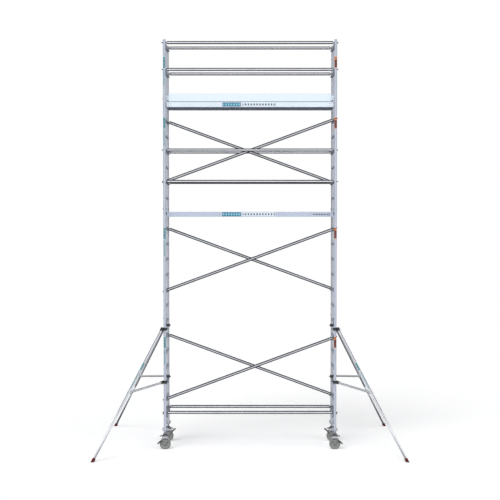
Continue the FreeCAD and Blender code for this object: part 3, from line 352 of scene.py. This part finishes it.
def painted_board():
    """Toe board: plywood under a pale paint, with knocks along it, dark end straps partly in painted shade, and a
    painted shadow line along its foot.
    """
    paint = Paint("toe_board_paint", (0.77, 0.86, 0.94), 0.5)
    grain = paint.noise(14.0, (0.5, 12, 12), detail=5.0, rough=0.65)
    groove_darkening = paint.noise(6.0, (0.6, 1, 2.5), detail=6.0, rough=0.7)
    chips = paint.noise(60.0, (0.6, 1, 1), detail=6.0, rough=0.75)
    paint.tint(paint.spread(grain, 0.5, 0.75, 0.0, 0.5), (0.68, 0.77, 0.85))
    paint.tint(paint.spread(groove_darkening, 0.55, 0.85, 0.0, 0.4), (0.58, 0.62, 0.66))
    paint.tint(paint.spread(chips, 0.72, 0.76, 0.0, 0.8), (0.42, 0.33, 0.24))
    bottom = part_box("platform_top_frame")[1].z
    # Painted shadow line along the board's foot, where it meets the beam.
    paint.tint(paint.near(paint.axis("Z"), bottom, 0.007, 0.002), (0.20, 0.23, 0.26))
    # Dark end straps; part of their darkness is painted shade on the shaded board ends.
    across = paint.math("ABSOLUTE", paint.axis("X"))
    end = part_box("toe_boards")[1].x - BOARD_STRAP
    paint.tint(paint.spread(across, end - 0.0004, end), (0.10, 0.10, 0.11))
    paint.polish(groove_darkening, 0.4, 0.7)
    paint.relief(grain, 0.0005, 0.3)
    return paint.done()


def fork_metal():
    """Castor fork: grey cheeks, bright below the crown; dark crown, hub, brake plates, tab."""
    paint = Paint("castor_fork_metal", (0.27, 0.27, 0.265), 0.42, metallic=0.35)
    x, y, z = (paint.axis(letter) for letter in "XYZ")
    aside = paint.away(paint.math("ABSOLUTE", x), RIGHT_X)
    outward = paint.away(paint.away(y, TOWER_Y), BACK_Y - TOWER_Y)
    stains = paint.noise(28.0, detail=5.0, rough=0.65)
    bloom = paint.cells(60.0)
    paint.tint(paint.spread(z, 0.155, 0.170, 1.0, 0.0), (0.185, 0.185, 0.18))
    paint.tint(paint.near(z, 0.218, 0.015, 0.002), (0.52, 0.53, 0.55))
    paint.tint(paint.spread(z, FORK_CROWN, FORK_CROWN + 0.0015), (0.085, 0.087, 0.094))
    plate = paint.times(paint.near(z, 0.187, 0.0155, 0.001), paint.spread(outward, 0.0352, 0.0358))
    tab = paint.times(paint.spread(z, 0.222, 0.224), paint.spread(aside, 0.047, 0.048))
    for dark_part in (plate, tab):
        paint.tint(dark_part, (0.055, 0.056, 0.060))
    paint.tint(paint.spread(stains, 0.45, 0.75, 0.0, 0.35), (0.20, 0.20, 0.20))
    paint.tint(paint.spread(bloom, 0.1, 0.6, 0.0, 0.25), (0.40, 0.41, 0.42))
    paint.polish(stains, 0.32, 0.6)
    paint.relief(stains, 0.0003, 0.3)
    return paint.done()


def wheel_plastic(name, colour, roughness):
    """Cast polyamide or polyurethane, with dust and scuffs from rolling."""
    paint = Paint(name, colour, roughness, specular=0.4)
    dust = paint.noise(18.0, detail=6.0, rough=0.7)
    grain = paint.noise(350.0, detail=2.0)
    scuffs = paint.noise(45.0, (1, 6, 1), detail=5.0, rough=0.7)
    paint.tint(paint.spread(dust, 0.42, 0.75, 0.0, 0.45), (0.34, 0.33, 0.32))
    paint.tint(paint.spread(scuffs, 0.6, 0.8, 0.0, 0.4), shade(colour, 0.6))
    paint.polish(dust, roughness, roughness + 0.25)
    paint.relief(grain, 0.0003, 0.4)
    return paint.done()


def foot_rubber():
    """Dark red rubber, dusty all over and soiled near the ground."""
    paint = Paint("foot_rubber", (0.115, 0.011, 0.015), 0.68, specular=0.3)
    grain = paint.noise(600.0, detail=2.0)
    dust = paint.noise(50.0, detail=5.0, rough=0.7)
    low = paint.spread(paint.axis("Z"), 0.0, 0.03, 0.75, 0.0)
    soil = paint.times(low, paint.spread(dust, 0.35, 0.65, 0.2, 1.0))
    paint.tint(paint.spread(dust, 0.5, 0.8, 0.0, 0.4), (0.16, 0.06, 0.055))
    paint.tint(soil, (0.17, 0.14, 0.12))
    paint.polish(dust, 0.6, 0.88)
    paint.relief(grain, 0.0004, 0.5)
    return paint.done()


def label_material(name, ground, ink, centre, half, bars=0, band=None):
    """Vinyl label: a blank block, cut into bars if there are any, and a band of dots."""
    paint = Paint(name, ground, 0.3, coat=0.4)
    u, v = paint.axis("X", paint.uv), paint.axis("Y", paint.uv)
    block = paint.times(paint.near(u, 0.5, 0.38, 0.03), paint.near(v, centre, half, 0.01))
    if bars:
        block = paint.times(block, paint.near(paint.teeth(v, bars), 0.5, 0.38, 0.05))
    paint.tint(block, ink)
    if band:
        dots = paint.near(paint.teeth(u, 3.0), 0.5, 0.30, 0.06)
        paint.tint(paint.times(paint.near(v, *band, 0.01), dots), shade(ink, 0.6))
    fade = paint.noise(30.0, detail=5.0, rough=0.7)
    paint.tint(paint.spread(fade, 0.5, 0.85, 0.0, 0.35), (0.6, 0.6, 0.6))
    paint.polish(fade, 0.22, 0.5)
    paint.relief(fade, 0.0002, 0.2)
    return paint.done()


def strip_material(name, ground, ink, bars):
    """Long vinyl strip with blank bars set across it."""
    paint = Paint(name, ground, 0.32, coat=0.3)
    u, v = paint.axis("X", paint.uv), paint.axis("Y", paint.uv)
    block = paint.times(paint.near(paint.teeth(u, bars), 0.45, 0.26, 0.05),
                        paint.near(v, 0.5, 0.24, 0.05))
    paint.tint(paint.times(block, paint.near(u, 0.5, 0.46, 0.01)), ink)
    fade = paint.noise(20.0, (0.5, 1, 1), detail=5.0, rough=0.7)
    paint.tint(paint.spread(fade, 0.55, 0.85, 0.0, 0.3), (0.65, 0.66, 0.68))
    paint.polish(fade, 0.25, 0.5)
    paint.relief(fade, 0.0002, 0.2)
    return paint.done()


# Depth of the draw lines on the polished tubes.
SHALLOW = 0.00001

MATERIALS = {
    "frame_tube": ladder_metal(),
    "spigot": drawn_metal("spigot_metal", (0.45, 0.46, 0.48), "Z"),
    "pin_steel": zinc_plate("pin_zinc"),
    "brace_tube": drawn_metal("brace_aluminium", (0.82, 0.83, 0.86), "X", 0.14, SHALLOW),
    "claw_casting": cast_metal("claw_casting", (0.24, 0.25, 0.28)),
    "latch": moulded_plastic("latch_plastic", (0.10, 0.10, 0.115)),
    "deck": film_faced_ply(),
    "toe_board": painted_board(),
    "castor_steel": fork_metal(),
    "castor_pedal": cast_metal("pedal_paint", (0.045, 0.046, 0.050), 0.45, 0.3, 300.0),
    "castor_wheel": wheel_plastic("wheel_nylon", (0.30, 0.30, 0.29), 0.45),
    "spindle": threaded_metal(),
    "nut": cast_metal("nut_casting", (0.50, 0.52, 0.57), 0.45, 0.7, 260.0),
    "stabiliser_tube": drawn_metal("stabiliser_aluminium", (0.82, 0.84, 0.87), "Z", 0.16,
                                   SHALLOW, 0.65),
    "coupler": coated_steel(),
    "stabiliser_foot": drawn_metal("foot_tube_aluminium", (0.84, 0.86, 0.89), "Z", 0.16,
                                   SHALLOW, 0.35),
}
# Painted shade: the diagonals get a darker copy of the brace aluminium.
SHADED_DIAGONAL = drawn_metal("diagonal_aluminium_shaded", (0.58, 0.59, 0.615), "X", 0.14, SHALLOW)
# One beam in two tones: a lighter copy on the top platform as painted light, a darker copy on the middle one as
# painted shade.
LIT_TOP_BEAM = platform_metal("top_platform_beam_lit", (0.81, 0.88, 0.95))
SHADED_MIDDLE_BEAM = platform_metal("middle_platform_beam_shaded", (0.53, 0.58, 0.69))
TYRE = wheel_plastic("tyre_polyurethane", (0.225, 0.225, 0.219), 0.55)
RUBBER = foot_rubber()
WELD = cast_metal("weld_bead", (0.50, 0.53, 0.57), 0.4, 0.9, 180.0)
STEEL_HEAD = zinc_plate("rivet_zinc", (0.55, 0.56, 0.58), 0.3)

for subpart in RECORD["subparts"]:
    node, slot = subpart["node"], subpart["material_slot"]
    if slot == "platform_beam":
        material = LIT_TOP_BEAM if "top" in node else SHADED_MIDDLE_BEAM
    elif node.startswith("diagonal_braces"):
        material = SHADED_DIAGONAL
    else:
        material = MATERIALS[slot]
    mesh = frame["nodes"][node].data
    mesh.materials.clear()
    mesh.materials.append(material)


# ------------------------------------------------------------------ mesh building

def placed(name, data):
    thing = bpy.data.objects.new(name, data)
    bpy.context.scene.collection.objects.link(thing)
    return thing


def piece(name, mesh, material, body, smooth=True):
    """A finished object that rides on a CAD body."""
    thing = placed(name, mesh)
    mesh.materials.append(material)
    if smooth:
        for face in mesh.polygons:
            face.use_smooth = True
    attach(thing, body)
    return thing


def mesh_of(name, vertices, faces):
    mesh = bpy.data.meshes.new(name)
    mesh.from_pydata([tuple(vertex) for vertex in vertices], [], faces)
    mesh.validate()
    mesh.update()
    return mesh


def grid_faces(rows, columns, closed=True):
    """Quads between rows of vertices; closed joins the last row and column to the first."""
    faces = []
    for i in range(rows if closed else rows - 1):
        for j in range(columns if closed else columns - 1):
            here, above = i * columns, (i + 1) % rows * columns
            along = (j + 1) % columns
            faces.append((here + j, here + along, above + along, above + j))
    return faces


def lathe(profile, steps, place):
    """Vertices and faces of a closed (radius, height) profile turned about Z, then placed."""
    vertices = []
    for step in range(steps):
        angle = 2 * math.pi * step / steps
        for radius, height in profile:
            point = Vector((radius * math.cos(angle), radius * math.sin(angle), height))
            vertices.append(place @ point)
    return vertices, grid_faces(steps, len(profile))


def turned(origin, direction):
    """Placement that carries Z onto direction, at origin."""
    rotation = Vector((0, 0, 1)).rotation_difference(Vector(direction)).to_matrix().to_4x4()
    return Matrix.Translation(Vector(origin)) @ rotation


def joined(parts):
    """One list of vertices and one of faces from several."""
    vertices, faces = [], []
    for part_vertices, part_faces in parts:
        start = len(vertices)
        vertices += part_vertices
        faces += [tuple(index + start for index in face) for face in part_faces]
    return vertices, faces


def corner_inset(distance, radius):
    """How far a rounded corner draws the side in, at a distance from the end."""
    if distance >= radius:
        return 0.0
    return radius - math.sqrt(max(0.0, radius ** 2 - (radius - distance) ** 2))


def patch(name, surface, width, height, corner, material, body):
    """Thin rounded label. surface(s, t, lift) gives the point s across and t up, lifted off."""
    low_rows = [corner * share for share in (0.0, 0.15, 0.5, 1.0)]
    rows = low_rows + [height - row for row in reversed(low_rows)]
    columns = 13
    vertices, uvs = [], []
    for lift in (0.00045, 0.0001):
        for t in rows:
            half = width / 2 - corner_inset(min(t, height - t), corner)
            for j in range(columns):
                s = half * (2 * j / (columns - 1) - 1)
                vertices.append(surface(s, t, lift))
                uvs.append((s / width + 0.5, t / height))
    count = len(rows) * columns
    top = grid_faces(len(rows), columns, closed=False)
    faces = top + [tuple(index + count for index in reversed(face)) for face in top]
    rim = list(range(columns))
    rim += [i * columns + columns - 1 for i in range(1, len(rows))]
    rim += [(len(rows) - 1) * columns + j for j in range(columns - 2, -1, -1)]
    rim += [i * columns for i in range(len(rows) - 2, 0, -1)]
    for a, b in zip(rim, rim[1:] + rim[:1]):
        faces.append((b, a, a + count, b + count))
    mesh = mesh_of(name, vertices, faces)
    layer = mesh.uv_layers.new(name="label")
    for loop in mesh.loops:
        layer.data[loop.index].uv = uvs[loop.vertex_index]
    piece(name, mesh, material, body)


def tube_surface(base, axis, outward, radius):
    """Surface for a patch on a tube: axis runs up the patch, outward is its middle."""
    axis, outward = Vector(axis).normalized(), Vector(outward).normalized()
    side = outward.cross(axis) * -1

    def surface(s, t, lift):
        angle = s / radius
        reach = radius + lift
        return (Vector(base) + axis * t + outward * (reach * math.cos(angle))
                + side * (reach * math.sin(angle)))
    return surface


def flat_surface(base, across, up, outward):
    across, up, outward = Vector(across), Vector(up), Vector(outward)

    def surface(s, t, lift):
        return Vector(base) + across * s + up * t + outward * lift
    return surface


# ------------------------------------------------------------------ labels

TEAL_LABEL = label_material("teal_label", (0.40, 0.72, 0.76), (0.008, 0.125, 0.17),
                            0.50, 0.46, bars=8)
TEAL_DOTS = label_material("teal_dots", (0.62, 0.68, 0.78), (0.05, 0.24, 0.29),
                           0.50, 0.47, bars=14)
ORANGE_LABEL = label_material("orange_label", (0.72, 0.22, 0.06), (0.12, 0.012, 0.006),
                              0.40, 0.34, band=(0.90, 0.035))
TEAL_STRIP = strip_material("teal_strip", (0.012, 0.165, 0.27), (0.25, 0.55, 0.68), 7)
GREY_STRIP = strip_material("grey_strip", (0.72, 0.79, 0.86), (0.13, 0.16, 0.20), 12)
DARK_STRIP = strip_material("dark_strip", (0.50, 0.55, 0.68), (0.03, 0.035, 0.045), 11)

# name, post, direction it faces, drop of its foot, width, height, corner, material
POST_LABELS = (
    ("label_left", LEFT_X, (-0.18, -1, 0), 0.205, 0.054, 0.205, 0.004, TEAL_LABEL),
    ("dots_left", LEFT_X, (-0.18, -1, 0), 0.515, 0.022, 0.295, 0.003, TEAL_DOTS),
    ("label_right", RIGHT_X, (0.08, -1, 0), 0.198, 0.066, 0.198, 0.010, ORANGE_LABEL),
)
for index, top in enumerate((2.028, 3.984, 5.949, 7.022), start=1):
    for name, x, facing, drop, width, height, corner, material in POST_LABELS:
        surface = tube_surface((x, FRONT_Y, top - drop), (0, 0, 1), facing, POST_RADIUS)
        patch(f"post_{name}_{index}", surface, width, height, corner, material, "tower")

# name, platform, x of its middle, height of its middle above the beam's bottom, width, height
BEAM_LABELS = (
    ("teal_top", "top", -0.33, 0.045, 0.33, 0.072, TEAL_STRIP),
    ("grey_top", "top", 0.155, 0.045, 0.62, 0.066, GREY_STRIP),
    ("teal_middle", "middle", -0.33, 0.045, 0.33, 0.072, TEAL_STRIP),
    ("grey_middle", "middle", 0.155, 0.045, 0.62, 0.066, GREY_STRIP),
    ("dark", "middle", 1.275, 0.043, 0.31, 0.058, DARK_STRIP),
)
beam_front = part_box("platform_top_frame")[0].y
for name, level, x, rise, width, height, material in BEAM_LABELS:
    beam_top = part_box(f"platform_{level}_deck")[1].z + BEAM_ABOVE_DECK
    foot = (x, beam_front, beam_top - BEAM_HEIGHT + rise - height / 2)
    surface = flat_surface(foot, (1, 0, 0), (0, 0, 1), (0, -1, 0))
    patch(f"beam_label_{name}", surface, width, height, 0.004, material, "tower")


# ------------------------------------------------------------------ welds and rivets

def weld_ring(x, y_post, inward, z, phase):
    """Bead that follows the saddle between a rung and a post."""
    steps, sides = 44, 6
    vertices = []
    for step in range(steps):
        angle = 2 * math.pi * step / steps
        dx = RUNG_RADIUS * math.cos(angle)
        dz = RUNG_RADIUS * math.sin(angle)
        y = y_post + inward * math.sqrt(POST_RADIUS ** 2 - dx ** 2)
        size = WELD_SIZE * (1 + math.sin(angle * 11 + phase) / 6)
        radial = Vector((math.cos(angle), 0, math.sin(angle)))
        out = Vector((0, inward, 0))
        for side in range(sides):
            turn = 2 * math.pi * side / sides
            offset = radial * (size * math.cos(turn)) + out * (size * math.sin(turn))
            vertices.append(Vector((x + dx, y, z + dz)) + offset)
    return vertices, grid_faces(steps, sides)


def dome(origin, direction, radius, height):
    """Low domed head: a closed cap standing on its foot."""
    profile = [(0.00005, 0.0), (radius, 0.0), (radius, height * 0.35),
               (radius * 0.72, height * 0.85), (0.00005, height)]
    return lathe(profile, 12, turned(origin, direction))


for side, x in (("left", LEFT_X), ("right", RIGHT_X)):
    beads, heads = [], []
    for index, z in enumerate(RUNG_HEIGHTS):
        beads.append(weld_ring(x, FRONT_Y, 1, z, index))
        beads.append(weld_ring(x, BACK_Y, -1, z, index + 0.5))
    for z in JOINT_HEIGHTS:
        for y, outward in ((FRONT_Y, -1), (BACK_Y, 1)):
            for drop in (0.035, 0.062):
                seat = (x, y + outward * (POST_RADIUS - 0.0004), z - drop)
                heads.append(dome(seat, (0, outward, 0), 0.006, 0.0026))
    welds = mesh_of(f"rung_welds_{side}", *joined(beads))
    piece(f"rung_welds_{side}", welds, WELD, "tower")
    rivets = mesh_of(f"spigot_rivets_{side}", *joined(heads))
    piece(f"spigot_rivets_{side}", rivets, STEEL_HEAD, "tower")

for level in ("top", "middle"):
    low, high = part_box(f"platform_{level}_frame")
    deck_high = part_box(f"platform_{level}_deck")[1]
    heads = []
    for x_sign in (-1, 1):
        for y, outward in ((low.y, -1), (high.y, 1)):
            for inset in (0.035, 0.075):
                for drop in (0.028, 0.066):
                    seat = (x_sign * (deck_high.x - inset), y - outward * 0.0003,
                            deck_high.z - drop)
                    heads.append(dome(seat, (0, outward, 0), 0.0055, 0.0022))
    rivets = mesh_of(f"platform_rivets_{level}", *joined(heads))
    piece(f"platform_rivets_{level}", rivets, STEEL_HEAD, "tower")


# ------------------------------------------------------------------ castor wheels

def wheel_pieces(name):
    """Tyre and ribbed wheel centre in place of one plain castor wheel."""
    node = f"castor_wheel_{name}"
    low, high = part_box(node)
    centre = (low + high) / 2
    radius = (high.z - low.z) / 2
    hub_half = (high.y - low.y) / 2
    half = hub_half - 0.004
    place = turned(centre, (0, 1, 0))
    rim = radius * 0.77
    tyre_profile = [
        (rim, -half * 0.86), (rim + 0.004, -half), (radius - 0.013, -half),
        (radius - 0.005, -half + 0.003), (radius, -half + 0.012),
        (radius - 0.0012, -0.0052), (radius - 0.0034, -0.0038), (radius - 0.0034, 0.0038),
        (radius - 0.0012, 0.0052), (radius, 0.012), (radius - 0.0012, half - 0.009),
        (radius - 0.005, half - 0.003), (radius - 0.013, half), (rim + 0.004, half),
        (rim, half * 0.86),
    ]
    mesh = mesh_of(f"castor_tyre_{name}", *lathe(tyre_profile, 72, place))
    tyre = piece(f"castor_tyre_{name}", mesh, TYRE, f"wheel_{name}")
    bore = 0.0081
    web = half * 0.36
    centre_profile = [
        (bore, -hub_half), (0.021, -hub_half), (0.025, -hub_half + 0.004), (0.026, -web - 0.002),
        (0.030, -web), (rim - 0.011, -web), (rim - 0.008, -half * 0.8), (rim - 0.0002, -half * 0.8),
        (rim - 0.0002, half * 0.8), (rim - 0.008, half * 0.8), (rim - 0.011, web), (0.030, web),
        (0.026, web + 0.002), (0.025, hub_half - 0.004), (0.021, hub_half), (bore, hub_half),
    ]
    parts = [lathe(centre_profile, 72, place)]
    spokes = 10
    inner, outer, thick = 0.0245, rim - 0.0095, 0.0032
    for index in range(spokes):
        spoke = place @ Matrix.Rotation(2 * math.pi * index / spokes, 4, "Z")
        for side in (-1, 1):
            z_low, z_high = side * web * 0.9, side * half * 0.72
            corners = []
            for x, z in ((inner, z_low), (outer, z_low), (outer, z_high * 0.9), (inner, z_high)):
                for y in (-thick / 2, thick / 2):
                    corners.append(spoke @ Vector((x, y, z)))
            faces = [(0, 2, 4, 6), (1, 7, 5, 3), (0, 1, 3, 2), (2, 3, 5, 4), (4, 5, 7, 6),
                     (6, 7, 1, 0)]
            parts.append((corners, faces))
    mesh = mesh_of(f"castor_wheel_centre_{name}", *joined(parts))
    core = piece(f"castor_wheel_centre_{name}", mesh, MATERIALS["castor_wheel"],
                 f"wheel_{name}", smooth=False)
    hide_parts(node)
    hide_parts(node)


# ------------------------------------------------------------------ stabiliser feet and labels

def foot_pieces(name):
    """Telescopic inner tube and ribbed rubber foot in place of one stabiliser foot leg."""
    node = f"stabiliser_foot_leg_{name}"
    way = Vector(JOINTS[f"stabiliser_extend_{name}"]["axis"]).normalized()
    mount = next(m for m in RECORD["mounts"] if m["name"] == f"foot_{name}")
    ground = Vector(mount["pos_m"])
    top_distance = (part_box(node)[1].z - 0.012) / -way.z
    place = turned(ground, -way)
    outer, inner = FOOT_TUBE_RADIUS, FOOT_TUBE_RADIUS - 0.002
    profile = [(inner, 0.058), (outer, 0.058), (outer, top_distance), (inner, top_distance)]
    mesh = mesh_of(f"stabiliser_inner_tube_{name}", *lathe(profile, 28, place))
    tube = piece(f"stabiliser_inner_tube_{name}", mesh, MATERIALS["stabiliser_foot"],
                 f"stabiliser_foot_{name}")
    rib, groove = FOOT_RADIUS, FOOT_RADIUS - 0.0023
    profile = [(outer, 0.0695), (groove, 0.0695), (rib, 0.067), (rib, 0.061),
               (groove, 0.0595), (groove, 0.0565), (rib, 0.055), (rib, 0.048),
               (groove, 0.0465), (groove, 0.0435), (rib, 0.042), (rib, 0.035),
               (0.0262, 0.033), (0.0272, 0.030), (rib, 0.024), (rib, -0.05),
               (0.0001, -0.05), (0.0001, 0.057), (outer, 0.057)]
    vertices, faces = lathe(profile, 40, place)
    # What would go through the floor is drawn back up the leg, so the foot stands flat.
    settled = [vertex + way * (vertex.z / -way.z) if vertex.z < 0.0 else vertex
               for vertex in vertices]
    mesh = mesh_of(f"rubber_foot_{name}", settled, faces)
    foot = piece(f"rubber_foot_{name}", mesh, RUBBER, f"stabiliser_foot_{name}")
    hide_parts(node)
    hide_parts(node)
    if name.startswith("front"):
        front = Vector((0, -1, 0))
        facing = (front - way * front.dot(way)).normalized()
        for label, start, width, length, material in (
                ("leg_label", 1.775, 0.034, 0.15, TEAL_LABEL),
                ("leg_dots", 1.40, 0.014, 0.35, TEAL_DOTS)):
            surface = tube_surface(ground - way * start, -way, facing, LEG_RADIUS)
            patch(f"{label}_{name}", surface, width, length, 0.004, material,
                  f"stabiliser_{name}")


for corner in CORNERS:
    wheel_pieces(corner)
    foot_pieces(corner)


# ------------------------------------------------------------------ floor, light and camera

def floor():
    half = 240.0
    mesh = mesh_of("floor", [(-half, -half, 0), (half, -half, 0), (half, half, 0),
                             (-half, half, 0)], [(0, 1, 2, 3)])
    thing = placed("floor", mesh)
    paint = Paint("floor_paint", (0.90, 0.90, 0.90), 0.9, specular=0.1)
    cloud = paint.noise(0.6, detail=3.0)
    paint.tint(paint.spread(cloud, 0.3, 0.8, 0.0, 0.3), (0.88, 0.88, 0.89))
    paint.shader.inputs["Emission Color"].default_value = (1, 1, 1, 1)
    paint.shader.inputs["Emission Strength"].default_value = 0.34
    mesh.materials.append(paint.done())
    # The white floor doesn't flood the undersides with light; they see the grey studio instead.
    thing.visible_diffuse = False
    thing.visible_glossy = False


def sun_light(name, azimuth, elevation, strength, width):
    """Soft distant light; azimuth 0 shines along +Y, from behind the camera."""
    data = bpy.data.lights.new(name, "SUN")
    data.energy = strength
    data.angle = math.radians(width)
    lamp = placed(name, data)
    # The tubes mirror the studio around them, not the lamps.
    lamp.visible_glossy = False
    turn, rise = math.radians(azimuth), math.radians(elevation)
    way = Vector((math.sin(turn) * math.cos(rise), math.cos(turn) * math.cos(rise),
                  -math.sin(rise)))
    lamp.rotation_euler = way.to_track_quat("-Z", "Y").to_euler()


def studio():
    """Grey studio that the tubes mirror, bright at eye level; the camera sees plain white."""
    world = bpy.data.worlds.new("studio")
    bpy.context.scene.world = world
    world.use_nodes = True
    nodes, links = world.node_tree.nodes, world.node_tree.links
    sky = nodes["Background"]
    coordinates = nodes.new("ShaderNodeTexCoord")
    split = nodes.new("ShaderNodeSeparateXYZ")
    links.new(coordinates.outputs["Generated"], split.inputs[0])
    sky.inputs["Color"].default_value = (0.94, 0.96, 1.0, 1)
    level = nodes.new("ShaderNodeMath")
    level.operation = "ABSOLUTE"
    links.new(split.outputs["Z"], level.inputs[0])
    ring = spread(nodes, links, level.outputs[0], (0.32, 0.66), (1.08, 0.04))
    behind = spread(nodes, links, split.outputs["Y"], (-0.9, 0.4), (1.2, 0.42))
    glow = nodes.new("ShaderNodeMath")
    glow.operation = "MULTIPLY"
    links.new(ring, glow.inputs[0])
    links.new(behind, glow.inputs[1])
    links.new(glow.outputs[0], sky.inputs["Strength"])
    backdrop = nodes.new("ShaderNodeBackground")
    backdrop.inputs["Color"].default_value = (1.0, 1.0, 1.0, 1)
    backdrop.inputs["Strength"].default_value = 1.0
    path = nodes.new("ShaderNodeLightPath")
    mix = nodes.new("ShaderNodeMixShader")
    links.new(path.outputs["Is Camera Ray"], mix.inputs[0])
    links.new(sky.outputs[0], mix.inputs[1])
    links.new(backdrop.outputs[0], mix.inputs[2])
    links.new(mix.outputs[0], nodes["World Output"].inputs["Surface"])
    sun_light("key", 30, 52, 1.7, 35)
    sun_light("fill", -50, 40, 0.7, 60)


def camera():
    data = bpy.data.cameras.new("camera")
    data.sensor_width = 36.0
    data.lens = 75.665
    data.clip_end = 600.0
    distance, height, tilt_down = 19.14, 4.158, 1.748
    eye = placed("camera", data)
    eye.location = (0.0, TOWER_Y - distance, height)
    eye.rotation_euler = (math.radians(90 - tilt_down), 0, 0)
    bpy.context.scene.camera = eye


floor()
studio()
camera()
bpy.context.scene.view_settings.view_transform = "Standard"
